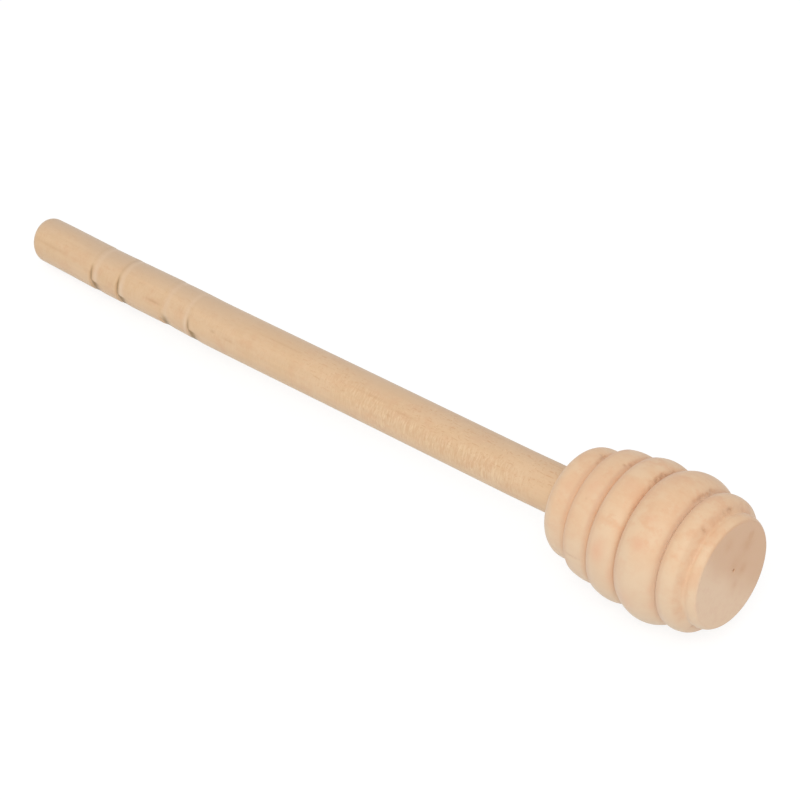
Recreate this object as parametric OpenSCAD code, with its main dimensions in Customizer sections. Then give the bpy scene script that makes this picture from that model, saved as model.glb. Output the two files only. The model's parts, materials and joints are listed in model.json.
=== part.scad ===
// Wooden honey dipper, turned in two pieces: a ringed head and a plain handle with four
// fine decorative grooves. The handle ends in a round tenon, glued into a blind bore in the head.
// Each piece is a revolved outline. In an outline x is the radius and y is the distance from the
// head's flat end face, towards the handle's tip. The dipper lies on a table as it does when it is
// put down: the largest ring and the handle's tip touch z = 0, and the head points to +X.

/* [Overall] */
// Length from the flat end face to the tip of the handle
overall_l = 160; // [130:1:220]

/* [Collar and cove] */
// Diameter of the flat end face
face_d = 18.2; // [14:0.1:18.8]
// Bevel round the end face
face_bevel = 0.2; // [0.1:0.05:0.4]
// Largest diameter of the collar behind the end face
collar_d = 19.4; // [19.2:0.1:20]
// Distance from the end face to the collar's largest diameter
collar_top = 1.05; // [0.8:0.05:1.3]
// Diameter at the bottom of the shallow cove behind the collar
cove_d = 19.1; // [18.6:0.1:19.1]
// Radius of the cove's hollow
cove_hollow = 0.35; // [0.2:0.05:0.5]
// Angle of the hollow's end towards the end face
cove_back = 8; // [4:1:12]
// Steepness of the slope from the cove up to ring 1
cove_rise = 55; // [50:1:60]

/* [Rings, counted from the end face] */
// Distance from the end face to the start of ring 1
ring_1_start = 2.8; // [2.6:0.05:3.6]
// Crown diameter of ring 1
ring_1_d = 23.2; // [22.8:0.1:25]
// Length of ring 1
ring_1_l = 3.6; // [3.2:0.1:6]
// How far ring 1's crown falls to its front end
ring_1_front_drop = 0.6; // [0.3:0.05:0.9]
// How far ring 1's crown falls to its back end
ring_1_back_drop = 0.35; // [0.1:0.05:0.6]
// Radius of ring 1's front edge
ring_1_front_round = 1.3; // [1:0.05:1.5]

// Crown diameter of ring 2, the largest
ring_2_d = 25.5; // [24:0.1:30]
// Length of ring 2
ring_2_l = 7.75; // [6:0.05:10]
// How far ring 2's crown falls to its front end
ring_2_front_drop = 1.9; // [1:0.05:2.2]
// How far ring 2's crown falls to its back end
ring_2_back_drop = 1.2; // [0.5:0.05:1.6]

// Crown diameter of ring 3
ring_3_d = 24.4; // [22:0.1:28]
// Length of ring 3
ring_3_l = 5.4; // [4.5:0.05:8]
// How far ring 3's crown falls to its front end
ring_3_front_drop = 0.95; // [0.3:0.05:1.3]
// How far ring 3's crown falls to its back end
ring_3_back_drop = 0.5; // [0.2:0.05:0.9]

// Crown diameter of ring 4
ring_4_d = 22.6; // [20:0.1:26]
// Length of ring 4
ring_4_l = 5.15; // [4.5:0.05:8]
// How far ring 4's crown falls to its front end
ring_4_front_drop = 0.4; // [0.2:0.05:0.9]
// How far ring 4's crown falls to its back end
ring_4_back_drop = 0.4; // [0.2:0.05:0.9]

// Crown diameter of ring 5, next to the handle
ring_5_d = 19.3; // [18:0.1:24]
// Length of ring 5, shoulder included
ring_5_l = 6.2; // [5.5:0.05:8]
// How far ring 5's crown falls to its front end
ring_5_front_drop = 0.25; // [0.1:0.05:0.6]
// How far ring 5's crown falls to its back end
ring_5_back_drop = 0.55; // [0.2:0.05:0.8]
// Radius of the shoulder between ring 5 and the handle
shoulder_r = 3; // [2:0.1:3.4]

/* [Edges and honey grooves] */
// Radius of the front edges of rings 2 to 5, on the side of the end face
front_round = 1.7; // [1:0.05:2]
// Radius of the back edges of rings 1 to 4, on the side of the handle
back_round = 0.5; // [0.3:0.05:0.8]
// Width of the grooves between the rings at the bottom
groove_w = 0.2; // [0.1:0.05:0.6]
// Depth of a groove below the lower of the two ring ends beside it
groove_depth = 1.5; // [1.2:0.05:2.5]

/* [Handle] */
// Diameter of the handle's long plain shaft
shaft_d = 8.4; // [8:0.1:10]
// How much smaller each turned section starts than the shaft
section_step = 0; // [0:0.02:0.3]
// Length of the first section after the shaft
band_1_l = 7.1; // [4:0.1:12]
// How much the first section narrows towards the tip
band_1_taper = 0.14; // [0.02:0.02:0.4]
// Length of the middle section
middle_l = 11.3; // [6:0.1:20]
// How much the middle section narrows towards the tip
middle_taper = 0.08; // [0.02:0.02:0.4]
// Length of the third section
band_2_l = 7.05; // [4:0.1:12]
// How much the third section narrows towards the tip
band_2_taper = 0.1; // [0.02:0.02:0.4]
// Length of the tail section, with the rounded tip
tail_l = 17.15; // [10:0.1:25]
// How much the tail section narrows to where the tip's rounding starts
tail_taper = 0.14; // [0:0.02:1.5]
// Radius of the rounding at the tip
tip_round = 2; // [1:0.1:3]
// Rise of the domed middle of the tip
tip_dome = 0.15; // [0.05:0.05:0.5]
// Width of the V grooves in the handle
v_groove_w = 0.8; // [0.5:0.05:1.5]
// Depth of the V grooves in the handle
v_groove_depth = 0.3; // [0.15:0.05:0.6]

/* [Glued joint] */
// Diameter of the tenon on the handle
tenon_d = 6.4; // [5:0.1:7]
// Length of the tenon
tenon_l = 18; // [12:0.5:20]
// Bevel on the tenon's end
tenon_bevel = 0.6; // [0.2:0.1:1]
// Thickness of the glue film between tenon and bore
glue_t = 0.1; // [0.05:0.01:0.2]
// Space left for surplus glue under the tenon's end
glue_space = 1; // [0.5:0.1:2]
// Full angle of the drill's point at the bottom of the bore
drill_point = 118; // [90:1:140]

/* [End mark] */
// Diameter of the small prick mark in the end face
mark_d = 0.6; // [0.3:0.05:1]
// Depth of the prick mark
mark_depth = 0.5; // [0.2:0.05:1]
// Distance of the prick mark from the axis
mark_offset = 0.8; // [0:0.1:3]
// Direction of the prick mark from the axis, turning from the top towards +Y
mark_angle = 45; // [-180:5:180]

/* [Hidden] */
$fn = 180;
arc_steps = 20;
corner_steps = 8;

// Length, crown radius, front drop, back drop, front radius and back radius of each ring
rings = [
    [ring_1_l, ring_1_d / 2, ring_1_front_drop, ring_1_back_drop, ring_1_front_round, back_round],
    [ring_2_l, ring_2_d / 2, ring_2_front_drop, ring_2_back_drop, front_round, back_round],
    [ring_3_l, ring_3_d / 2, ring_3_front_drop, ring_3_back_drop, front_round, back_round],
    [ring_4_l, ring_4_d / 2, ring_4_front_drop, ring_4_back_drop, front_round, back_round],
    [ring_5_l, ring_5_d / 2, ring_5_front_drop, ring_5_back_drop, front_round, shoulder_r]
];
last = len(rings) - 1;

function ring_start(i) = i == 0 ? ring_1_start : ring_end(i - 1) + groove_w;
function ring_end(i) = ring_start(i) + rings[i][0];
function front_r(i) = rings[i][1] - rings[i][2];
function back_r(i) = rings[i][1] - rings[i][3];

head_l = ring_end(last);
shaft_r = shaft_d / 2;
tenon_r = tenon_d / 2;
bore_r = tenon_r + glue_t;
tip_r = (shaft_d - section_step - tail_taper) / 2;
shaft_end = overall_l - tail_l - band_2_l - middle_l - band_1_l;

// Centre of the circle through three points
function centre_of(p, q, r) =
    let (d = 2 * (p.x * (q.y - r.y) + q.x * (r.y - p.y) + r.x * (p.y - q.y)))
    [
        (p * p * (q.y - r.y) + q * q * (r.y - p.y) + r * r * (p.y - q.y)) / d,
        (p * p * (r.x - q.x) + q * q * (p.x - r.x) + r * r * (q.x - p.x)) / d
    ];

// Points along a circle, from one angle to another
function arc(centre, radius, from, to, steps) = [
    for (k = [0 : steps])
        let (a = from + (to - from) * k / steps)
        centre + radius * [cos(a), sin(a)]
];

function turn(a) = a - 360 * floor(a / 360);

// Points along the arc from p through q to r
function arc_through(p, q, r, steps) =
    let (
        c = centre_of(p, q, r),
        from = atan2(p.y - c.y, p.x - c.x),
        sweep = turn(atan2(r.y - c.y, r.x - c.x) - from),
        left = cross(q - p, r - p) > 0
    )
    arc(c, norm(p - c), from, from + (left ? sweep : sweep - 360), steps);

// Centre and radius of the circle that a ring's crown lies on
function crown(i) =
    let (
        front = [front_r(i), ring_start(i)],
        top = [rings[i][1], ring_start(i) + rings[i][0] / 2],
        c = centre_of(front, top, [back_r(i), ring_end(i)])
    )
    [c, norm(front - c)];

// Centre of an edge's rounding at height y, which runs on from the crown, and the angle where they meet
function rounding(i, y, radius) =
    let (
        c = crown(i),
        rise = y - c[0].y,
        out = sqrt(pow(c[1] - radius, 2) - rise * rise)
    )
    [c[0] + [out, rise], atan2(rise, out)];
function front_rounding(i) = rounding(i, ring_start(i) + rings[i][4], rings[i][4]);
function back_rounding(i) = rounding(i, ring_end(i) - rings[i][5], rings[i][5]);

// A ring's outline, from its front over the crown to its back
function ring_outline(i) =
    let (c = crown(i), front = front_rounding(i), back = back_rounding(i))
    concat(
        arc(front[0], rings[i][4], i == 0 ? -cove_rise : -90, front[1], corner_steps),
        arc(c[0], c[1], front[1], back[1], arc_steps),
        arc(back[0], rings[i][5], back[1], 90, corner_steps)
    );

// The round bottom of the groove behind ring i
function groove_outline(i) =
    let (floor_r = min(back_r(i), front_r(i + 1)) - groove_depth)
    arc([floor_r + groove_w / 2, ring_end(i) + groove_w / 2], groove_w / 2, 270, 90, corner_steps);

// The bevelled end face, the collar and the cove, whose straight slope runs up to ring 1's front edge
slope_end = front_rounding(0)[0] + ring_1_front_round * [cos(cove_rise), -sin(cove_rise)];
slope_rise = slope_end.x - cove_d / 2 - cove_hollow * (1 - cos(cove_rise));
hollow_centre = [
    cove_d / 2 + cove_hollow,
    slope_end.y - slope_rise / tan(cove_rise) - cove_hollow * sin(cove_rise)
];
hollow_outline = arc(hollow_centre, cove_hollow, 180 + cove_back, 180 - cove_rise, corner_steps);
collar_outline = concat(
    [[0, 0], [face_d / 2, 0]],
    arc_through(
        [face_d / 2 + face_bevel, face_bevel],
        [collar_d / 2, collar_top],
        hollow_outline[0],
        corner_steps
    ),
    hollow_outline
);

head_outline = concat(
    collar_outline,
    [for (i = [0 : last]) each concat(ring_outline(i), i == last ? [] : groove_outline(i))],
    [[0, head_l]]
);

// Start, length and narrowing of the turned sections between the handle's V grooves
sections = [
    [shaft_end, band_1_l, band_1_taper],
    [shaft_end + band_1_l, middle_l, middle_taper],
    [shaft_end + band_1_l + middle_l, band_2_l, band_2_taper],
    [overall_l - tail_l, tail_l - tip_round - tip_dome, tail_taper]
];
section_r = (shaft_d - section_step) / 2;

// The V groove in front of a section, then the section's two ends
function section_outline(i) =
    let (
        start = sections[i][0],
        end = start + sections[i][1],
        half = v_groove_w / 2,
        r = section_r - sections[i][2] / 2
    )
    [
        [section_r - v_groove_depth, start],
        [section_r, start + half],
        [r, end - (i < len(sections) - 1 ? half : 0)]
    ];

tip_centre = [tip_r - tip_round, overall_l - tip_dome - tip_round];
tip_dome_r = (tip_centre.x * tip_centre.x + tip_dome * tip_dome) / (2 * tip_dome);
tip_outline = concat(
    arc(tip_centre, tip_round, 0, 90, arc_steps),
    arc([0, overall_l - tip_dome_r], tip_dome_r, acos(tip_centre.x / tip_dome_r), 90, corner_steps)
);

tenon_end = head_l - tenon_l;
handle_outline = concat(
    [
        [0, tenon_end],
        [tenon_r - tenon_bevel, tenon_end],
        [tenon_r, tenon_end + tenon_bevel],
        [tenon_r, head_l],
        [shaft_r, head_l],
        [shaft_r, shaft_end - v_groove_w / 2]
    ],
    [for (i = [0 : len(sections) - 1]) each section_outline(i)],
    tip_outline
);

// How the dipper lies: a line under the head's crowns and the tip's rounding is the table
function tilt_on(c, r) =
    let (d = [c.x - tip_centre.x, tip_centre.y - c.y])
    acos((tip_round - r) / norm(d)) - atan2(d.y, d.x);
tilt = max([for (i = [0 : last]) tilt_on(crown(i)[0], crown(i)[1])]);
face_z = tip_centre.x * cos(tilt) + tip_centre.y * sin(tilt) + tip_round;
front_reach = face_d / 2 * sin(tilt);
tip_reach = (overall_l - tip_dome_r) * cos(tilt) + tip_dome_r;
face_x = (tip_reach - front_reach) / 2;

// Lays a piece, turned round Z with the end face at z = 0, down on the table
module laid() {
    translate([face_x, 0, face_z])
        rotate([0, -90 - tilt, 0])
            children();
}

module turned(outline) {
    rotate_extrude()
        polygon(outline);
}

// The bore for the tenon, with the cone that the drill's point leaves
module bore() {
    depth = tenon_l + glue_space;
    translate([0, 0, head_l - depth])
        cylinder(h = depth + 1, r = bore_r);
    translate([0, 0, head_l - depth - bore_r / tan(drill_point / 2)])
        cylinder(h = bore_r / tan(drill_point / 2), r1 = 0, r2 = bore_r);
}

// The small conical prick in the end face
module end_mark() {
    rotate(mark_angle)
        translate([mark_offset, 0, -mark_depth])
            cylinder(h = 2 * mark_depth, r1 = mark_d, r2 = 0);
}

module head() {
    color("#e3c19c")
        laid()
            difference() {
                turned(head_outline);
                bore();
                end_mark();
            }
}

module handle() {
    color("#d9b58c")
        laid()
            turned(handle_outline);
}

// The thin sleeve of hardened glue round the tenon
module glue_film() {
    color("#efe6cf")
        laid()
            translate([0, 0, tenon_end + tenon_bevel])
                difference() {
                    cylinder(h = tenon_l - tenon_bevel, r = bore_r);
                    translate([0, 0, -1])
                        cylinder(h = tenon_l + 2, r = tenon_r);
                }
}

head();
handle();
glue_film();
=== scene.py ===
"""The looks of a turned wooden honey dipper: a ringed head and a plain handle of pale wood, on a white table.

Both pieces are built in their own turned frame, in millimetres: z runs along the dipper's axis from the
head's flat end face towards the handle's tip, x is up and y is across. Azimuths are in degrees, turning
from x towards y, so the photographed side is near -45.
"""

import json
import math
from collections import namedtuple

import bpy
import numpy as np
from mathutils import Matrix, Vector


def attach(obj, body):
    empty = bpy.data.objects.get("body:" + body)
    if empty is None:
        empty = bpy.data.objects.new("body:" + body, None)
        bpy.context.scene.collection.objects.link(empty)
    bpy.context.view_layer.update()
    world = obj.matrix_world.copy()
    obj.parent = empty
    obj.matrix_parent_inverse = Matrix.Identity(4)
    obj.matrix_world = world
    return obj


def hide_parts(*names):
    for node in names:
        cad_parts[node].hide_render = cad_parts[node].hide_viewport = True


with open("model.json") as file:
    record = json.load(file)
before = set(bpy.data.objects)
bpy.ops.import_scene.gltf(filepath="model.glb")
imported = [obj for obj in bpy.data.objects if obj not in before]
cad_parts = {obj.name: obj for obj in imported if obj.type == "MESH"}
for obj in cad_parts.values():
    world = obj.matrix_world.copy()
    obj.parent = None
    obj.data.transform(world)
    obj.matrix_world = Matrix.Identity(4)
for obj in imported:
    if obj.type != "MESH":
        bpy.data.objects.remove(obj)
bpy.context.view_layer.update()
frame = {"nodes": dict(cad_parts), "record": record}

MM = 0.001

# Places taken from the frame
mounts = {m["name"]: m for m in frame["record"]["mounts"]}
FACE_CENTRE = Vector(mounts["end_face"]["pos_m"])
OUTWARD = Vector(mounts["end_face"]["axis"]).normalized()
SHAFT_R = mounts["shaft"]["dims"]["r_mm"]

# The rings of the head, from the end face on: their length, the diameter of their crown, how far their
# front and back edges lie below it, and the radii of the roundings there
Ring = namedtuple("Ring", "length crown_d front_drop back_drop front_round back_round")
RINGS = [
    Ring(3.6, 23.2, 0.6, 0.35, 1.3, 0.5),
    Ring(7.75, 25.5, 1.9, 1.2, 1.7, 0.5),
    Ring(5.4, 24.4, 0.95, 0.5, 1.7, 0.5),
    Ring(5.15, 22.6, 0.4, 0.4, 1.7, 0.5),
    Ring(6.2, 19.3, 0.25, 0.55, 1.7, 3),
]
RING_1_START = 2.8
GROOVE_W = 0.2
GROOVE_DEPTH = 0.55

# The end face, the collar behind it and the cove, whose angles are in degrees
FACE_D = 18.2
FACE_BEVEL = 0.2
COLLAR_D = 19.4
COLLAR_TOP = 1.05
COVE_D = 19.28
COVE_HOLLOW = 0.5
COVE_RISE = 55
COVE_BACK = 7

# The small prick in the end face
PRICK_D = 0.6
PRICK_DEPTH = 0.5
PRICK_OFFSET = 0.8
PRICK_AZIMUTH = 45

# The handle's sections behind its plain shaft, each with a V groove at its start: their length, and how
# much thinner than the shaft their far end is
OVERALL_L = 160
Section = namedtuple("Section", "length taper")
SECTIONS = [Section(7.1, 0.14), Section(11.3, 0.08), Section(7.05, 0.1), Section(17.15, 0.14)]
V_GROOVE_W = 0.8
V_GROOVE_DEPTH = 0.3
TIP_ROUND = 2
TIP_DOME = 0.15

# The glued joint, and the angle of the drill's point at the bottom of its bore
TENON_R = 3.2
TENON_L = 18
TENON_BEVEL = 0.6
GLUE_T = 0.1
GLUE_SPACE = 1
DRILL_POINT = 118

# Places along z that follow from these sizes
RING_STARTS = [RING_1_START]
for ring in RINGS[:-1]:
    RING_STARTS.append(RING_STARTS[-1] + ring.length + GROOVE_W)
RING_ENDS = [start + ring.length for start, ring in zip(RING_STARTS, RINGS)]
HEAD_L = RING_ENDS[-1]
SHAFT_END = OVERALL_L - sum(section.length for section in SECTIONS)
V_GROOVES = [SHAFT_END + sum(s.length for s in SECTIONS[:i]) for i in range(len(SECTIONS))]

# The real dipper isn't quite straight: how far its axis moves off to one side between two places along z,
# and how far its tip leans
BEND_AZIMUTH = 44
Bend = namedtuple("Bend", "offset start end")
HEAD_BENDS = [Bend(0.2, 9, HEAD_L)]
HANDLE_BENDS = [Bend(-0.11, HEAD_L, 45), Bend(0.19, 112, 124), Bend(0.35, 138, OVERALL_L)]
TIP_LEAN = 0.45
LEAN_START = 154

# Mesh spacing, and how near to the axis an outline comes: to a radius of AXIS_R, or on the tip's dome to an
# angle of DOME_STOP degrees
HEAD_COLUMNS = 300
HEAD_STEP = 0.22
HANDLE_COLUMNS = 112
HANDLE_STEP = 0.3
AXIS_R = 0.01
DOME_STOP = 89.8

# How the surface is unrolled for a texture: the margin round it, and what is left of each step that is
# hidden inside the joint
UV_MARGIN = 0.01
HIDDEN_SHARE = 0.1


# Outlines: rows of (radius, z)

def arc(centre, radius, start, end, step):
    """Points along a circle, from one angle to another in degrees."""
    steps = max(3, math.ceil(abs(math.radians(end - start)) * radius / step))
    a = np.radians(np.linspace(start, end, steps + 1))
    return np.array(centre) + radius * np.stack([np.cos(a), np.sin(a)], 1)


def circle_through(p, q, r):
    """Centre of the circle through three points."""
    d = 2 * (p[0] * (q[1] - r[1]) + q[0] * (r[1] - p[1]) + r[0] * (p[1] - q[1]))
    pp, qq, rr = p @ p, q @ q, r @ r
    return np.array([
        (pp * (q[1] - r[1]) + qq * (r[1] - p[1]) + rr * (p[1] - q[1])) / d,
        (pp * (r[0] - q[0]) + qq * (p[0] - r[0]) + rr * (q[0] - p[0])) / d,
    ])


def arc_through(p, q, r, step):
    """Points along the arc from p through q to r."""
    p, q, r = (np.array(v, float) for v in (p, q, r))
    c = circle_through(p, q, r)
    start, end = (math.degrees(math.atan2(*(v - c)[::-1])) for v in (p, r))
    sweep = (end - start) % 360
    turns_left = (q - p)[0] * (r - p)[1] - (q - p)[1] * (r - p)[0] > 0
    return arc(c, np.linalg.norm(p - c), start, start + (sweep if turns_left else sweep - 360), step)


def filled(stretches, step):
    """Joins stretches of an outline and adds points where two lie further apart than a step."""
    corners = np.concatenate([np.atleast_2d(s).astype(float) for s in stretches])
    rows = [corners[:1]]
    for a, b in zip(corners, corners[1:]):
        gap = np.linalg.norm(b - a)
        if gap < 1e-6:
            continue
        n = math.ceil(gap / step)
        rows.append(a + (b - a) * np.arange(1, n + 1)[:, None] / n)
    return np.concatenate(rows)


def front_r(i):
    return RINGS[i].crown_d / 2 - RINGS[i].front_drop


def back_r(i):
    return RINGS[i].crown_d / 2 - RINGS[i].back_drop


def groove_floor(i):
    """Radius at the bottom of the groove behind ring i."""
    return min(back_r(i), front_r(i + 1)) - GROOVE_DEPTH


def crown(i):
    """Centre and radius of the circle that a ring's crown lies on."""
    start, end = RING_STARTS[i], RING_ENDS[i]
    points = (front_r(i), start), (RINGS[i].crown_d / 2, (start + end) / 2), (back_r(i), end)
    centre = circle_through(*(np.array(p) for p in points))
    return centre, np.linalg.norm(np.array(points[0]) - centre)


def rounding(i, z, radius):
    """Centre of an edge's rounding at z, which runs on from the crown, and the angle where the two meet."""
    centre, crown_r = crown(i)
    away = (math.sqrt((crown_r - radius) ** 2 - (z - centre[1]) ** 2), z - centre[1])
    return centre + away, math.degrees(math.atan2(away[1], away[0]))


def collar_outline(step):
    """The bevelled collar behind the end face, and the cove that rises to ring 1's rounded front."""
    rise = math.radians(COVE_RISE)
    turned = RINGS[0].front_round
    centre, _ = rounding(0, RING_STARTS[0] + turned, turned)
    climb = centre[0] + turned * math.cos(rise) - COVE_D / 2 - COVE_HOLLOW * (1 - math.cos(rise))
    bottom = centre[1] - (turned + COVE_HOLLOW) * math.sin(rise) - climb / math.tan(rise)
    hollow = arc((COVE_D / 2 + COVE_HOLLOW, bottom), COVE_HOLLOW, 180 + COVE_BACK, 180 - COVE_RISE, step / 2)
    bevel = (FACE_D / 2 + FACE_BEVEL, FACE_BEVEL)
    return [arc_through(bevel, (COLLAR_D / 2, COLLAR_TOP), hollow[0], step), hollow]


def ring_outline(i, step):
    """A ring, from its front over the crown to its back, and the narrow groove behind it."""
    ring = RINGS[i]
    fine = 0.7 * step
    front, meets = rounding(i, RING_STARTS[i] + ring.front_round, ring.front_round)
    if i:
        low = (groove_floor(i - 1) - front[0]) / ring.front_round
        start = -math.degrees(math.acos(max(0, low)))
    else:
        start = -COVE_RISE
    back, leaves = rounding(i, RING_ENDS[i] - ring.back_round, ring.back_round)
    centre, crown_r = crown(i)
    stretches = [
        arc(front, ring.front_round, start, meets, fine),
        arc(centre, crown_r, meets, leaves, step),
        arc(back, ring.back_round, leaves, 90, fine),
    ]
    if i < len(RINGS) - 1:
        stretches.append((groove_floor(i), RING_ENDS[i] + GROOVE_W / 4))
    return stretches


def head_outline(step):
    """The whole head, from the middle of the end face round to the bottom of the bore."""
    bore_r = TENON_R + GLUE_T
    bore_end = HEAD_L - TENON_L - GLUE_SPACE
    point = bore_r / math.tan(math.radians(DRILL_POINT / 2))
    round_prick = filled([(AXIS_R, 0), (2 * PRICK_OFFSET, 0)], PRICK_D / 10)
    outer = [round_prick, (FACE_D / 2, 0)] + collar_outline(step)
    for i in range(len(RINGS)):
        outer += ring_outline(i, step)
    outer.append((bore_r, HEAD_L))
    inner = [(bore_r, HEAD_L), (bore_r, bore_end), (AXIS_R, bore_end - point)]
    coarse = 5 * step
    return np.concatenate([filled(outer, step), filled(inner, coarse)[1:]])


def tip_outline(step):
    """The handle's end: a rounded edge that runs into a low dome."""
    centre = (SHAFT_R - SECTIONS[-1].taper / 2 - TIP_ROUND, OVERALL_L - TIP_DOME - TIP_ROUND)
    dome_r = (centre[0] ** 2 + TIP_DOME ** 2) / (2 * TIP_DOME)
    dome_start = math.degrees(math.acos(centre[0] / dome_r))
    return [arc(centre, TIP_ROUND, 0, 90, step / 2),
            arc((0, OVERALL_L - dome_r), dome_r, dome_start, DOME_STOP, step)]


def handle_outline(step):
    """The whole handle, from the middle of the tenon's end to the middle of the tip."""
    tenon_end = HEAD_L - TENON_L
    inner = [(AXIS_R, tenon_end), (TENON_R - TENON_BEVEL, tenon_end), (TENON_R, tenon_end + TENON_BEVEL),
             (TENON_R, HEAD_L)]
    half = V_GROOVE_W / 2
    bottom_r = SHAFT_R - V_GROOVE_DEPTH
    fine, coarse = step / 3, 5 * step
    outer = [(TENON_R, HEAD_L), (SHAFT_R, HEAD_L), (SHAFT_R, SHAFT_END - half)]
    for start, section in zip(V_GROOVES, SECTIONS):
        last = section is SECTIONS[-1]
        next_start = start + section.length
        far_end = (SHAFT_R - section.taper / 2, next_start - (TIP_ROUND + TIP_DOME if last else half))
        outer += [filled([(bottom_r, start), (SHAFT_R, start + half)], fine), far_end]
        if not last:
            outer.append(filled([far_end, (bottom_r, next_start)], fine))
    outer += tip_outline(step)
    return np.concatenate([filled(inner, coarse), filled(outer, step)[1:]])


# Fields over a piece's surface

class Surface:
    """The points of a turned surface: rows follow the outline and columns go round it.

    hidden(radius, z) tells which points of the outline lie inside the joint."""

    def __init__(self, outline, columns, hidden):
        angle = np.linspace(0, 2 * np.pi, columns, endpoint=False)
        self.r, self.angle = np.meshgrid(outline[:, 0], angle, indexing="ij")
        self.z = np.repeat(outline[:, 1:], columns, 1)
        along = np.gradient(outline, axis=0)
        along /= np.linalg.norm(along, axis=1)[:, None]
        self.out_r = np.repeat(along[:, 1:], columns, 1)
        self.out_z = -np.repeat(along[:, :1], columns, 1)
        inside = np.array([float(hidden(*row)) for row in outline])
        self.outside = 1 - np.repeat(inside[:, None], columns, 1)
        steps = np.linalg.norm(np.diff(outline, axis=0), axis=1) * (1 - (1 - HIDDEN_SHARE) * inside[1:])
        self.height = np.concatenate([[0], np.cumsum(steps) / steps.sum()])

    def azimuth(self, centre):
        """Degrees from a direction round the axis, from -180 to 180."""
        return (np.degrees(self.angle) - centre + 180) % 360 - 180

    def side(self, azimuth, sides=1):
        """1 towards an azimuth and -1 away from it, or 1 on two opposite sides and -1 between them."""
        return np.cos(sides * np.radians(self.azimuth(azimuth)))

    def points(self, proud=0):
        """Places in millimetres, raised by proud along the surface's own direction."""
        r = self.r + self.out_r * proud
        z = self.z + self.out_z * proud
        return np.stack([r * np.cos(self.angle), r * np.sin(self.angle), z], -1)

    def spot(self, z, azimuth, length, width):
        """A soft spot, 1 in its middle and falling off over a length along the axis and a width across."""
        across = self.r * np.radians(self.azimuth(azimuth))
        return np.exp(-((self.z - z) / length) ** 2 - (across / width) ** 2)

    def band(self, z, width):
        """A soft band right round the piece, 1 at z and falling off over a width to both sides."""
        return np.exp(-((self.z - z) / width) ** 2)

    def marked(self, marks):
        """The strength of the marks at each point, up to 1."""
        return np.clip(sum(m.strength * self.spot(*m[:4]) for m in marks), 0, 1)


def smooth(x, low, high):
    """0 at low, 1 at high, with soft ends."""
    t = np.clip((x - low) / (high - low), 0, 1)
    return t * t * (3 - 2 * t)


def waves(points, size, seed, count=28):
    """A smooth random field, about -1 to 1, with features of a size (or three sizes) in millimetres."""
    rng = np.random.default_rng(seed)
    way = rng.normal(size=(count, 3))
    way *= rng.uniform(0.5, 1.5, (count, 1)) * np.pi / np.linalg.norm(way, axis=1)[:, None]
    phase = rng.uniform(0, 2 * np.pi, count)
    return np.cos(points / np.array(size, float) @ way.T + phase).sum(-1) / math.sqrt(count)


def raised(field, least):
    """A field from 0 to 1, raised so that it starts at a least value."""
    return least + (1 - least) * field


def direction(azimuth):
    """The direction of an azimuth, as x, y and z."""
    way = math.radians(azimuth)
    return np.array([math.cos(way), math.sin(way), 0])


def bent(z, bends):
    """How far the axis lies off to BEND_AZIMUTH at each z."""
    return sum(b.offset * smooth(z, b.start, b.end) for b in bends)


# Meshes

def closed_faces(rows, columns):
    """The quads between the points of a turned surface, and a fan to the middle of each end."""
    here = np.arange(columns)
    after = (here + 1) % columns
    row = np.arange(rows - 1)[:, None] * columns
    quads = np.stack([row + here, row + after, row + columns + after, row + columns + here], -1)
    first, last = rows * columns, rows * columns + 1
    top = (rows - 1) * columns
    starts = np.stack([np.full(columns, first), after, here], -1)
    ends = np.stack([np.full(columns, last), top + here, top + after], -1)
    return quads.reshape(-1, 4).tolist() + starts.tolist() + ends.tolist()


def unrolled(rows, columns, height):
    """Texture places, corner by corner: round the axis along u, and along the outline up v."""
    left = np.tile(np.arange(columns), rows - 1) / columns
    right = left + 1 / columns
    low, high = np.repeat(height[:-1], columns), np.repeat(height[1:], columns)
    quads = np.stack([left, low, right, low, right, high, left, high], -1).ravel()
    left, right = left[:columns], right[:columns]
    middle = (left + right) / 2
    start, end = np.full(columns, height[0]), np.full(columns, height[-1])
    starts = np.stack([middle, start, right, start, left, start], -1).ravel()
    ends = np.stack([middle, end, left, end, right, end], -1).ravel()
    return UV_MARGIN + (1 - 2 * UV_MARGIN) * np.concatenate([quads, starts, ends])


def in_frame(turned):
    """Places of the turned frame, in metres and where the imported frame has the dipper."""
    along = -OUTWARD
    up = Vector((along.z, 0, -along.x))
    return turned * MM @ np.array([up, along.cross(up), along]) + np.array(FACE_CENTRE)


def turned_piece(name, surface, proud, bend, fields):
    """A closed mesh of the surface, with its fields as attributes.

    It stands proud of the surface by a height, and its axis bends away to BEND_AZIMUTH."""
    points = surface.points(proud) + bend[..., None] * direction(BEND_AZIMUTH)
    rows, columns = points.shape[:2]
    ends = points[[0, -1]].mean(1)
    turned = np.concatenate([points.reshape(-1, 3), ends])
    mesh = bpy.data.meshes.new(name)
    mesh.from_pydata(in_frame(turned).tolist(), [], closed_faces(rows, columns))
    mesh.shade_smooth()
    mesh.uv_layers.new(name="OFBake").data.foreach_set("uv", unrolled(rows, columns, surface.height))
    for field, values in fields.items():
        flat = np.concatenate([values.ravel(), values[0, :1], values[-1, :1]]).astype(np.float32)
        mesh.attributes.new(field, "FLOAT", "POINT").data.foreach_set("value", flat)
    mesh.attributes.new("turned", "FLOAT_VECTOR", "POINT").data.foreach_set("vector", turned.ravel())
    piece = bpy.data.objects.new(name, mesh)
    bpy.context.collection.objects.link(piece)
    return piece


# The head

# Marks in the wood: the z and azimuth of their middle, their length along the axis and width across it,
# and their strength
Mark = namedtuple("Mark", "z azimuth length width strength")
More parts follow.
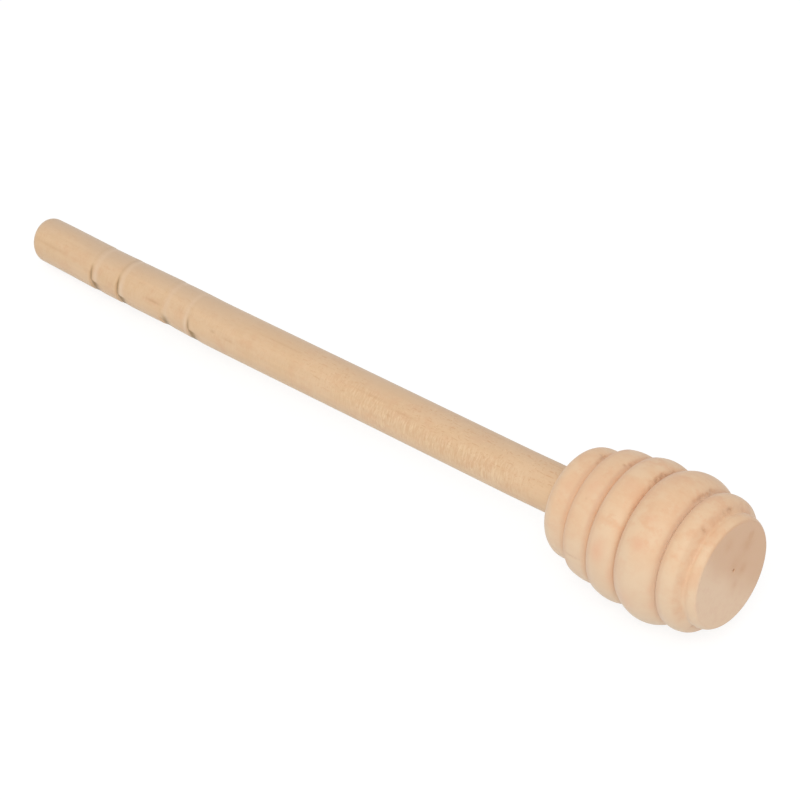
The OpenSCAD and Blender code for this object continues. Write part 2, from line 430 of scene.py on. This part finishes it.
# Soft warm patches on the crowns
BLUSHES = [
    Mark(17.6, -75, 1.3, 2.1, 1), Mark(10.4, -55, 1.3, 1.1, 1), Mark(10.4, -35, 0.9, 0.6, 0.6),
    Mark(7.2, -88, 0.4, 0.8, 0.6), Mark(7.2, -105, 0.5, 1, 0.5), Mark(15.2, -94, 0.5, 2.5, 0.5),
    Mark(17.3, -18, 1.5, 1, 0.5), Mark(22.9, -30, 1.2, 2, 0.6), Mark(1.7, -45, 0.8, 1.4, 0.6),
    Mark(28, -38, 1, 1.2, 0.4), Mark(11.5, -104, 1.8, 2.2, 0.5), Mark(12.5, 70, 2, 2, 0.8),
    Mark(17, 120, 1.5, 2.5, 0.8), Mark(28, 95, 1.4, 1.6, 0.7), Mark(4.6, 150, 1, 2, 0.8),
]
# Stretches of the rings' fronts, and of the cove, where the grain is torn
TEARS = [
    Mark(6.9, 14, 0.35, 3.2, 1), Mark(14.95, 9, 0.3, 3, 0.9), Mark(20.9, 2, 0.28, 2, 1),
    Mark(26.7, 8, 0.35, 1.3, 1), Mark(7.1, 190, 0.35, 3.2, 0.9), Mark(15, 176, 0.3, 3, 0.9),
    Mark(20.9, 184, 0.28, 2.4, 0.9), Mark(26.7, 172, 0.35, 2, 0.9), Mark(2.6, 14, 0.25, 2.4, 0.5),
]
# Small holes and cracks
HOLES = [
    Mark(7.15, 20, 0.3, 0.5, 0.9), Mark(6.9, 13, 0.2, 0.35, 0.8), Mark(7.0, 6, 0.25, 0.6, 0.9),
    Mark(7.05, -2, 0.2, 0.35, 0.7), Mark(15.15, 9, 0.2, 0.35, 0.8), Mark(15.1, 1, 0.2, 0.5, 0.8),
    Mark(15.4, -5, 0.2, 0.25, 0.5), Mark(21, 6, 0.25, 0.3, 0.8), Mark(21.4, 1, 0.35, 0.25, 0.8),
    Mark(26.8, 10, 0.35, 0.5, 1), Mark(27.4, 10, 0.4, 0.25, 0.6), Mark(26.5, -2, 0.22, 0.3, 0.8),
    Mark(2.7, -21, 0.3, 0.3, 0.7), Mark(2.6, 15, 0.25, 0.4, 0.5), Mark(2.65, 6, 0.2, 0.3, 0.4),
    Mark(1.9, -136, 0.45, 0.35, 0.9), Mark(23.1, -42, 0.25, 0.2, 0.3), Mark(23.1, -95, 2.2, 0.2, 0.35),
    Mark(15.3, 172, 0.3, 0.6, 0.8), Mark(21, 196, 0.3, 0.5, 0.7),
]
TEAR_DEPTH = 0.08
HOLE_DEPTH = 0.14

# The faint unevenness that turning and sanding leave
SANDED = 0.02
TURNED = 0.008

# Darker patches in the end face, how far the whole face darkens towards one side, and where along z its
# colour gives way to the collar's
Patch = namedtuple("Patch", "x y size strength")
HEART = [
    Patch(3.6, 4, 1.5, 0.35), Patch(-0.5, 2.9, 1, 0.4), Patch(-2.5, 0.9, 0.7, 0.35),
    Patch(5, 5, 0.6, 0.6), Patch(6.2, -0.8, 1.1, 0.25), Patch(1.2, 0.6, 1.6, 0.3),
]
HEART_SIDE = 0.65
HEART_AZIMUTH = 45
FACE_EDGE = (0.3, 0.05)

# The marks and tints of the rings and the cove start here along z, behind the collar
BODY_START = 1.5

# For each groove between rings: how much paler its bottom is painted, a painted light against the shade in
# the crease, and how far behind it and how strong the warm tint on the next ring's front is
Groove = namedtuple("Groove", "light tint_behind tint")
GROOVES = [Groove(1, 0.3, 1.2), Groove(0.3, 0.5, 0), Groove(0.15, 0.9, 1.4), Groove(0.3, 1.15, 1.3)]
LIGHT_W = 0.25
TINT_W = 0.38

# Bands along a ring's edges: how far along z from the edge they lie, their width and their strength.
# Two warm bands follow its back edge, partly the wood's warmer colour and partly painted shade at the crease,
# and on top of the head small tears follow its front edge
Band = namedtuple("Band", "offset width strength")
BACK_SHADES = [Band(-0.6, 0.45, 1), Band(-0.1, 0.2, 1.5)]
FRONT_TEARS = Band(0.1, 0.25, 0.4)

# How strongly the end grain warms each ring's steep front, and an azimuth where it does so most
FRONT_TINTS = [0.4, 0.65, 0.5, 1, 1]
END_GRAIN_AZIMUTH = 4

# The rough part of the cove: where it starts, where it ends and how far that wanders, how soft both are,
# and how deep its flecks go
COVE_START = 2
COVE_END = 2.75
COVE_WANDER = 0.25
COVE_SOFT = (0.15, 0.35)
FLECK_DEPTH = 0.05

# The top of the head, and the low side that is painted paler and cooler, a painted reflection of the white
# table
TOP_AZIMUTH = 0
TABLE_SHEEN_AZIMUTH = -125


def crease_fields(surface, near_top):
    """The painted light on the groove bottoms, and the warm tints on the edges beside them, partly painted
    shade.
    """
    crease_light, edge_tints_and_shade = np.zeros_like(surface.z), np.zeros_like(surface.z)
    for end, look in zip(RING_ENDS, GROOVES):
        start = end + GROOVE_W
        # Painted light: each groove bottom is made paler against the shade in the crease
        crease_light += look.light * surface.band(start, LIGHT_W)
        # Warm bands along each back edge: partly the wood's warmer colour, partly painted shade at the crease
        for shade in BACK_SHADES:
            edge_tints_and_shade += shade.strength * surface.band(end + shade.offset, shade.width)
        edge_tints_and_shade += look.tint * raised(near_top, 0.5) * surface.band(start + look.tint_behind, TINT_W)
    return crease_light, edge_tints_and_shade


def torn_field(surface, near_top, flecks):
    """Torn grain: the marked stretches, and a little on top of each ring's front edge."""
    torn = surface.marked(TEARS) * raised(flecks, 0.35)
    for start in RING_STARTS[1:]:
        along_edge = surface.band(start + FRONT_TEARS.offset, FRONT_TEARS.width)
        torn += FRONT_TEARS.strength * near_top * flecks * along_edge
    return np.clip(torn, 0, 1)


def cove_field(surface, points, near_top):
    """The rough part of the cove, patchy and with a wandering back edge."""
    soft_start, soft_end = COVE_SOFT
    end = COVE_END + COVE_WANDER * waves(points, (1, 1, 4), seed=8)
    rough = smooth(surface.z, COVE_START - soft_start, COVE_START + soft_start)
    rough *= smooth(surface.z, end + soft_end, end - soft_end)
    return rough * smooth(waves(points, 2.5, seed=5) + near_top, -0.6, 1)


def face_fields(surface, points):
    """The darker wood in the end face, and the prick near its middle."""
    x, y = points[..., 0], points[..., 1]
    towards = points @ direction(HEART_AZIMUTH)
    heart = HEART_SIDE * smooth(towards + 0.5 * waves(points, 3, seed=6), -4, 3)
    heart += sum(p.strength * np.exp(-((x - p.x) ** 2 + (y - p.y) ** 2) / p.size ** 2) for p in HEART)
    prick_x, prick_y, _ = PRICK_OFFSET * direction(PRICK_AZIMUTH)
    from_prick = np.hypot(x - prick_x, y - prick_y)
    prick = np.clip(1 - from_prick / (PRICK_D / 2), 0, 1) * (surface.z < COLLAR_TOP)
    return np.clip(heart, 0, 1), prick


def head_piece():
    surface = Surface(head_outline(HEAD_STEP), HEAD_COLUMNS, lambda r, z: r < SHAFT_R and z > COLLAR_TOP)
    points = surface.points()
    body = surface.outside * (surface.z > BODY_START)
    near_top = smooth(surface.side(TOP_AZIMUTH), 0.2, 0.7)
    flecks = smooth(waves(points, (0.55, 0.55, 0.9), seed=3), -0.6, 1)

    groove, edge_tint_and_shade = crease_fields(surface, near_top)
    steep = smooth(-surface.out_z, 0.3, 0.95) * np.interp(surface.z, RING_STARTS, FRONT_TINTS)
    end_grain = smooth(surface.side(END_GRAIN_AZIMUTH, sides=2), -0.4, 1)
    torn = torn_field(surface, near_top, flecks) * body
    holes = surface.marked(HOLES) * body
    cove = cove_field(surface, points, near_top)
    # Painted reflection: the low side is made paler and cooler, as the white table's sheen on it
    pale = smooth(surface.side(TABLE_SHEEN_AZIMUTH) + 0.15 * waves(points, 6, seed=7), 0.2, 1)
    heart, prick = face_fields(surface, points)

    proud = SANDED * waves(points, 7, seed=1) + TURNED * waves(points, (4, 4, 0.6), seed=2)
    dug = TEAR_DEPTH * torn + HOLE_DEPTH * holes + FLECK_DEPTH * cove * flecks + PRICK_DEPTH * prick
    # The bore stays smooth and straight, as the glue and the tenon in it are
    proud = proud * surface.outside - dug
    bend = bent(surface.z, HEAD_BENDS) * surface.outside
    return turned_piece("turned_head", surface, proud, bend, {
        "groove": groove * body,
        "edge_tint_and_shade": edge_tint_and_shade * body,
        "steep": steep * body * raised(end_grain, 0.4),
        "torn": np.clip(torn + holes, 0, 1),
        "blush": surface.marked(BLUSHES) * body,
        "cove": cove,
        "pale": pale,
        "face": smooth(surface.z, *FACE_EDGE) * surface.outside,
        "heart": heart,
        "prick": prick,
    })


# The handle

# Short brown streaks in its surface
STREAKS = [
    Mark(110.9, -67, 0.5, 0.25, 0.8), Mark(107, -70, 1.6, 0.2, 0.6), Mark(96, -19, 4.5, 0.22, 0.45),
    Mark(126.2, -67, 1.8, 0.22, 0.9), Mark(153.5, -60, 4.5, 0.25, 0.45), Mark(64, 60, 4, 0.25, 0.6),
    Mark(67, -44, 3, 0.2, 0.5), Mark(73, -37, 2.5, 0.2, 0.5), Mark(69, -61, 0.8, 0.2, 0.6),
    Mark(82, 130, 3, 0.25, 0.6), Mark(138, 100, 3, 0.25, 0.6), Mark(45, 170, 5, 0.25, 0.5),
]
STREAK_DEPTH = 0.03
HANDLE_SANDED = 0.012

# The rippled figure and the small dots, each on two opposite sides, and the painted shade that makes the
# upper
# side greyer: their azimuth, and between which places along z they set in or fade
FIGURE_AZIMUTH = -67
FIGURE_STARTS = (34, 46)
FIGURE_FADES = (90, 66)
DOTS_AZIMUTH = -22
DOTS_FADE = (100, 78)
TOP_SHADE_AZIMUTH = 30
TOP_SHADE_GAINS = (100, 125)

# Where the V grooves are cut deepest and their painted shade is darkest. For each groove: how many degrees
# that reaches to each side, how much of the cut is left on the rest of the way round, and where its painted
# highlight lies along z
LOW_AZIMUTH = -140
Cut = namedtuple("Cut", "reach rest lip")
CUTS = [Cut(68, 0.03, 0.4), Cut(34, 0.03, -1.5), Cut(84, 0.15, -1.2), Cut(82, 0.05, -1.4)]
REACH_SOFT = 18
HIGHLIGHT_W = 0.5

# The painted shade in each V groove: how far before its bottom it lies and how wide it is, and what the sunk
# ledge on the lowest side adds to both. The ledge ends between two angles from LOW_AZIMUTH
ShadeBand = namedtuple("ShadeBand", "before width")
V_SHADE = ShadeBand(0.22, 0.32)
LEDGE = ShadeBand(0.85, 0.6)
LEDGE_ENDS = (51, 40)
LEDGE_DEPTH = 0.08

# On the far side the V grooves open again, by this share of their depth and from between two angles on
FAR_CUT = 0.4
FAR_STARTS = (150, 175)


def grain_fields(surface, points):
    """The rippled figure and the small dots, each over a stretch of the shaft, and the painted shade on the
    greyer upper side.
    """
    z = surface.z
    side = surface.side(FIGURE_AZIMUTH, sides=2) + 0.4 * waves(points, (4, 4, 12), seed=12)
    figure = smooth(side, 0.1, 0.9) * smooth(z, *FIGURE_STARTS) * raised(smooth(z, *FIGURE_FADES), 0.25)
    side = surface.side(DOTS_AZIMUTH, sides=2) + 0.4 * waves(points, (4, 4, 12), seed=15)
    dots = smooth(side, -0.3, 0.7) * raised(smooth(z, *DOTS_FADE), 0.3)
    # Painted shade: the upper side greyer and darker, more so towards the tip
    side = surface.side(TOP_SHADE_AZIMUTH) + 0.1 * waves(points, 8, seed=14)
    top_shade = smooth(side, 0.3, 1) * raised(smooth(z, *TOP_SHADE_GAINS), 0.6)
    return figure, dots, top_shade


def cut_fields(surface, points):
    """The V grooves: their painted shade, their painted highlights, how far they are filled, and how far
    sunk.
    """
    z = surface.z
    from_low = np.abs(surface.azimuth(LOW_AZIMUTH)) + 6 * waves(points, 3, seed=13)
    ledge = smooth(from_low, *LEDGE_ENDS)
    far = smooth(from_low, *FAR_STARTS)
    v_shade, lip, fill, sunk = (np.zeros_like(z) for _ in range(4))
    for groove, cut in zip(V_GROOVES, CUTS):
        deep = raised(smooth(from_low, cut.reach + REACH_SOFT, cut.reach - REACH_SOFT), cut.rest)
        in_groove = np.clip(1 - np.abs(z - groove) / (V_GROOVE_W / 2), 0, 1)
        # Painted shade in the groove, wider and further towards the head over the sunk ledge on the low side
        shade_band = surface.band(groove - V_SHADE.before - LEDGE.before * ledge, V_SHADE.width + LEDGE.width * ledge)
        v_shade += deep * shade_band
        # Painted highlight beside the groove
        lip += raised(deep, 0.45) * surface.band(groove + cut.lip, HIGHLIGHT_W)
        fill += (1 - deep - FAR_CUT * far) * V_GROOVE_DEPTH * in_groove
        sunk += LEDGE_DEPTH * ledge * shade_band
    return v_shade, lip, fill, sunk


def handle_piece():
    surface = Surface(handle_outline(HANDLE_STEP), HANDLE_COLUMNS, lambda r, z: z < HEAD_L)
    points = surface.points()
    z = surface.z
    streaks = surface.marked(STREAKS)
    figure, dots, top_shade = grain_fields(surface, points)
    v_shade, lip, fill, sunk = cut_fields(surface, points)

    proud = HANDLE_SANDED * waves(points, (6, 6, 25), seed=11) * surface.outside
    proud -= STREAK_DEPTH * streaks + sunk
    surface.r = surface.r + fill
    lean = TIP_LEAN * surface.side(BEND_AZIMUTH)
    surface.z = z + lean * surface.r / SHAFT_R * smooth(z, LEAN_START, OVERALL_L)
    return turned_piece("turned_handle", surface, proud, bent(z, HANDLE_BENDS), {
        "streaks": streaks,
        "figure": figure,
        "dots": dots,
        "v_shade": v_shade,
        "lip": lip,
        "top_shade": top_shade,
    })


# Materials

# What both woods share on their surface: dry, with a soft bloom of fine fibres
WOOD_FINISH = {
    "Roughness": 0.6,
    "IOR": 1.45,
    "Sheen Weight": 0.22,
    "Sheen Roughness": 0.45,
    "Sheen Tint": (0.85, 0.95, 1, 1),
}
FIBRE_HEIGHT = 0.03

# The colour sockets of a mix node, by number because the node has several of each name
MIX_A, MIX_B, MIXED = 6, 7, 2


def srgb(r, g, b):
    """The linear colour that a screen shows as r, g and b of 255."""
    def linear(v):
        v /= 255
        return v / 12.92 if v <= 0.04045 else ((v + 0.055) / 1.055) ** 2.4
    return (linear(r), linear(g), linear(b), 1)


class Shader:
    """Short calls that add and link the nodes of one material."""

    def __init__(self, name):
        self.material = bpy.data.materials.new(name)
        self.material.use_nodes = True
        self.tree = self.material.node_tree
        self.surface = self.tree.nodes["Principled BSDF"]
        self.place = self.add("ShaderNodeAttribute", attribute_name="turned").outputs["Vector"]

    def add(self, kind, inputs=None, **settings):
        new = self.tree.nodes.new(kind)
        for name, value in settings.items():
            setattr(new, name, value)
        self.fill(new, inputs or {})
        return new

    def fill(self, node, inputs):
        """Sets or links a node's inputs."""
        for name, value in inputs.items():
            if isinstance(value, bpy.types.NodeSocket):
                self.tree.links.new(value, node.inputs[name])
            else:
                node.inputs[name].default_value = value

    def math(self, operation, a, b=0):
        return self.add("ShaderNodeMath", {0: a, 1: b}, operation=operation).outputs[0]

    def mix(self, factor, a, b, blend="MIX"):
        inputs = {"Factor": factor, MIX_A: a, MIX_B: b}
        return self.add("ShaderNodeMix", inputs, data_type="RGBA", blend_type=blend).outputs[MIXED]

    def noise(self, size, detail=3, roughness=0.5, distortion=0):
        """Noise with features of a size (or three sizes) in millimetres, 0 to 1."""
        sizes = size if isinstance(size, tuple) else (size,) * 3
        scale = tuple(1 / s for s in sizes)
        at = self.add("ShaderNodeVectorMath", {0: self.place, 1: scale}, operation="MULTIPLY").outputs[0]
        inputs = {"Vector": at, "Scale": 1, "Detail": detail, "Roughness": roughness}
        inputs["Distortion"] = distortion
        return self.add("ShaderNodeTexNoise", inputs).outputs[0]

    def smooth(self, value, low, high, to_low=0, to_high=1):
        inputs = {0: value, 1: low, 2: high, 3: to_low, 4: to_high}
        return self.add("ShaderNodeMapRange", inputs, interpolation_type="SMOOTHSTEP").outputs[0]

    def shade(self, colour, level):
        """The colour made lighter or darker by a level near 1."""
        grey = self.add("ShaderNodeCombineColor", {0: level, 1: level, 2: level}).outputs[0]
        return self.mix(1, colour, grey, "MULTIPLY")

    def field(self, name):
        return self.add("ShaderNodeAttribute", attribute_name=name).outputs["Fac"]

    def tinted(self, colour, field, tint, strength=1):
        """The colour with a tint over it where a field of the mesh is strong."""
        return self.mix(self.math("MULTIPLY", self.field(field), strength), colour, tint)


def wood(name, tones, streak):
    """Pale close-grained wood: soft patches of three tones, faint streaks along the grain and short pores."""
    s = Shader(name)
    light, middle, warm = tones
    colour = s.mix(s.smooth(s.noise((5, 5, 7), 3, 0.6), 0.4, 0.62), middle, light)
    colour = s.mix(s.smooth(s.noise((3.4, 3.4, 4), 3, 0.6), 0.5, 0.68), colour, warm)
    mottle = s.noise((1.1, 1.1, 1.5), 4, 0.65)
    colour = s.mix(s.smooth(mottle, 0.5, 0.7, 0, 0.6), colour, light)
    colour = s.mix(s.smooth(mottle, 0.5, 0.3, 0, 0.6), colour, warm)
    streaks = s.noise((0.8, 0.8, 22), 4, 0.6)
    colour = s.shade(colour, s.smooth(streaks, 0.3, 0.7, 1 - streak, 1 + streak))
    pores = s.noise((0.14, 0.14, 1.1), 2, 0.6)
    colour = s.mix(s.smooth(pores, 0.66, 0.8, 0, 0.25), colour, srgb(196, 150, 108))
    fibres = s.math("ADD", streaks, s.math("MULTIPLY", pores, -0.6))
    bump = s.add("ShaderNodeBump", {"Strength": 0.25, "Distance": FIBRE_HEIGHT * MM, "Height": fibres})
    s.fill(s.surface, WOOD_FINISH)
    s.fill(s.surface, {"Normal": bump.outputs[0]})
    return s, colour


def end_face(s, soft):
    """The paler end face with its darker heart and a few pinkish clouds."""
    face = s.mix(s.field("heart"), srgb(232, 197, 163), srgb(213, 165, 125))
    return s.mix(s.smooth(soft, 0.45, 0.65, 0, 0.25), face, srgb(222, 176, 146))


def head_wood():
    tones = srgb(233, 198, 161), srgb(231, 191, 152), srgb(229, 184, 145)
    s, colour = wood("head_wood", tones, 0.008)
    fine = s.noise((0.45, 0.45, 0.35), 3, 0.6)
    soft = s.noise(1.6, 3, 0.6)
    # Painted reflection of the white table: the low side paler and cooler
    colour = s.tinted(colour, "pale", srgb(229, 200, 168), 0.6)
    colour = s.tinted(colour, "blush", srgb(230, 181, 145), 0.85)
    colour = s.tinted(colour, "steep", srgb(227, 180, 143), s.smooth(soft, 0.35, 0.6, 0.45, 0.9))
    colour = s.tinted(colour, "cove", srgb(220, 172, 135), s.smooth(fine, 0.3, 0.6, 0.3, 0.6))
    colour = s.tinted(colour, "face", end_face(s, soft))
    colour = s.tinted(colour, "torn", srgb(186, 138, 102), s.smooth(fine, 0.35, 0.6, 0.35, 0.9))
    # Warm tint by the creases: partly the end grain's warmer colour, partly painted shade at the creases
    colour = s.tinted(colour, "edge_tint_and_shade", srgb(218, 175, 141), 0.45)
    # Painted light: the groove bottoms are made paler against the shade in the creases
    colour = s.tinted(colour, "groove", srgb(240, 214, 186), 0.9)
    colour = s.tinted(colour, "prick", srgb(150, 108, 76))
    s.fill(s.surface, {"Base Color": colour})
    return s.material


def handle_wood():
    tones = srgb(226, 190, 151), srgb(223, 186, 145), srgb(222, 181, 141)
    s, colour = wood("handle_wood", tones, 0.02)
    round_dots = s.smooth(s.noise((0.4, 0.4, 0.5), 3, 0.6), 0.58, 0.7)
    long_dots = s.smooth(s.noise((0.28, 0.28, 1.6), 2), 0.6, 0.7)
    dark_dots = s.math("MULTIPLY", s.math("MAXIMUM", round_dots, long_dots), 0.55)
    light_dots = s.smooth(s.noise((0.6, 0.6, 0.7), 3, 0.6), 0.58, 0.72, 0, 0.5)
    ripple = s.noise((1.5, 1.5, 0.34), 3, 0.6, 1)
    # Painted shade on the handle's upper side, greyer and darker
    colour = s.tinted(colour, "top_shade", srgb(213, 182, 150), 0.9)
    colour = s.tinted(colour, "dots", srgb(232, 198, 158), light_dots)
    colour = s.tinted(colour, "dots", srgb(204, 154, 112), dark_dots)
    colour = s.tinted(colour, "figure", srgb(236, 204, 164), s.smooth(ripple, 0.5, 0.68, 0, 0.75))
    colour = s.tinted(colour, "figure", srgb(216, 172, 130), s.smooth(ripple, 0.5, 0.34, 0, 0.75))
    colour = s.tinted(colour, "streaks", srgb(190, 145, 104), 0.6)
    # Painted highlight beside each V groove
    colour = s.tinted(colour, "lip", srgb(232, 204, 176), 0.6)
    # Painted shade in the V grooves, darkest on the low side
    colour = s.tinted(colour, "v_shade", srgb(140, 98, 20), 0.9)
    s.fill(s.surface, {"Base Color": colour})
    return s.material


def glue():
    s = Shader("hard_glue")
    colour = s.mix(s.noise(2), srgb(236, 226, 200), srgb(222, 205, 168))
    s.fill(s.surface, {"Base Color": colour, "Roughness": 0.35})
    return s.material


# The floor, the lights and the camera, with lengths in metres

FLOOR_HALF = 4
LAMP_TARGET = Vector((0, 0, 0.01))
# The camera's place from the middle of the end face, the way it looks, and its lens on a 36 mm wide sensor
EYE_FROM_FACE = Vector((0.19178, -0.28929, 0.29615))
VIEW = Vector((-0.53310, 0.58974, -0.60643))
LENS = 130.5
SENSOR = 36


def seen(tree):
    """1 for a ray that shows the surroundings: straight to the camera, or mirrored or let through."""
    path = tree.nodes.new("ShaderNodeLightPath")
    total = path.outputs["Is Camera Ray"]
    for name in ("Is Glossy Ray", "Is Transmission Ray"):
        either = tree.nodes.new("ShaderNodeMath")
        either.operation = "MAXIMUM"
        tree.links.new(total, either.inputs[0])
        tree.links.new(path.outputs[name], either.inputs[1])
        total = either.outputs[0]
    return total


def white_world(strength):
    """An even white sky that lights at a strength, and shows as plain white."""
    world = bpy.data.worlds.new("studio")
    bpy.context.scene.world = world
    world.use_nodes = True
    tree = world.node_tree
    background = tree.nodes["Background"]
    background.inputs["Color"].default_value = (1, 1, 1, 1)
    level = tree.nodes.new("ShaderNodeMix")
    level.inputs["A"].default_value = strength
    level.inputs["B"].default_value = 1
    tree.links.new(seen(tree), level.inputs["Factor"])
    tree.links.new(level.outputs["Result"], background.inputs["Strength"])


def table_material(glow, shade, albedo):
    """White by its albedo for the light it throws back, and shown as a faint grey plus a glow.

    So it shows white where it is lit, and keeps the dipper's shadow."""
    material = bpy.data.materials.new("white_table")
    material.use_nodes = True
    tree = material.node_tree
    tree.nodes.clear()
    out = tree.nodes.new("ShaderNodeOutputMaterial")
    plain = tree.nodes.new("ShaderNodeBsdfDiffuse")
    plain.inputs["Color"].default_value = (*albedo, 1)
    faint = tree.nodes.new("ShaderNodeBsdfDiffuse")
    faint.inputs["Color"].default_value = (shade, shade, shade, 1)
    light = tree.nodes.new("ShaderNodeEmission")
    light.inputs["Strength"].default_value = glow
    shown = tree.nodes.new("ShaderNodeAddShader")
    tree.links.new(faint.outputs[0], shown.inputs[0])
    tree.links.new(light.outputs[0], shown.inputs[1])
    choice = tree.nodes.new("ShaderNodeMixShader")
    tree.links.new(seen(tree), choice.inputs[0])
    tree.links.new(plain.outputs[0], choice.inputs[1])
    tree.links.new(shown.outputs[0], choice.inputs[2])
    tree.links.new(choice.outputs[0], out.inputs["Surface"])
    return material


def white_floor():
    mesh = bpy.data.meshes.new("floor")
    near, far = -FLOOR_HALF, FLOOR_HALF
    mesh.from_pydata([(near, near, 0), (far, near, 0), (far, far, 0), (near, far, 0)], [], [(0, 1, 2, 3)])
    mesh.materials.append(table_material(glow=0.82, shade=0.25, albedo=(0.86, 0.92, 0.97)))
    floor = bpy.data.objects.new("floor", mesh)
    bpy.context.collection.objects.link(floor)


def softbox(name, direction, distance, size, power):
    """A square lamp that faces LAMP_TARGET from a direction."""
    lamp = bpy.data.lights.new(name, "AREA")
    lamp.size = size
    lamp.energy = power
    holder = bpy.data.objects.new(name, lamp)
    bpy.context.collection.objects.link(holder)
    way = Vector(direction).normalized()
    holder.location = LAMP_TARGET + way * distance
    holder.rotation_euler = way.to_track_quat("Z", "Y").to_euler()


def camera():
    """A long lens at the photograph's angle, level from side to side."""
    lens = bpy.data.cameras.new("camera")
    lens.lens = LENS
    lens.sensor_width = SENSOR
    lens.sensor_fit = "HORIZONTAL"
    lens.clip_start = 0.01
    lens.clip_end = 20
    eye = bpy.data.objects.new("camera", lens)
    bpy.context.collection.objects.link(eye)
    eye.location = FACE_CENTRE + EYE_FROM_FACE
    eye.rotation_euler = VIEW.to_track_quat("-Z", "Y").to_euler()
    bpy.context.scene.camera = eye


# The whole scene

bpy.context.scene.view_settings.view_transform = "Standard"
camera()
white_world(strength=0.66)
white_floor()
softbox("key", direction=(0.35, -0.565, 0.69), distance=0.9, size=0.5, power=3)

head = head_piece()
head.data.materials.append(head_wood())
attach(head, "root")
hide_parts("head")

handle = handle_piece()
handle.data.materials.append(handle_wood())
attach(handle, "root")
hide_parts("handle")

film = frame["nodes"]["glue_film"]
film.data.materials.clear()
film.data.materials.append(glue())
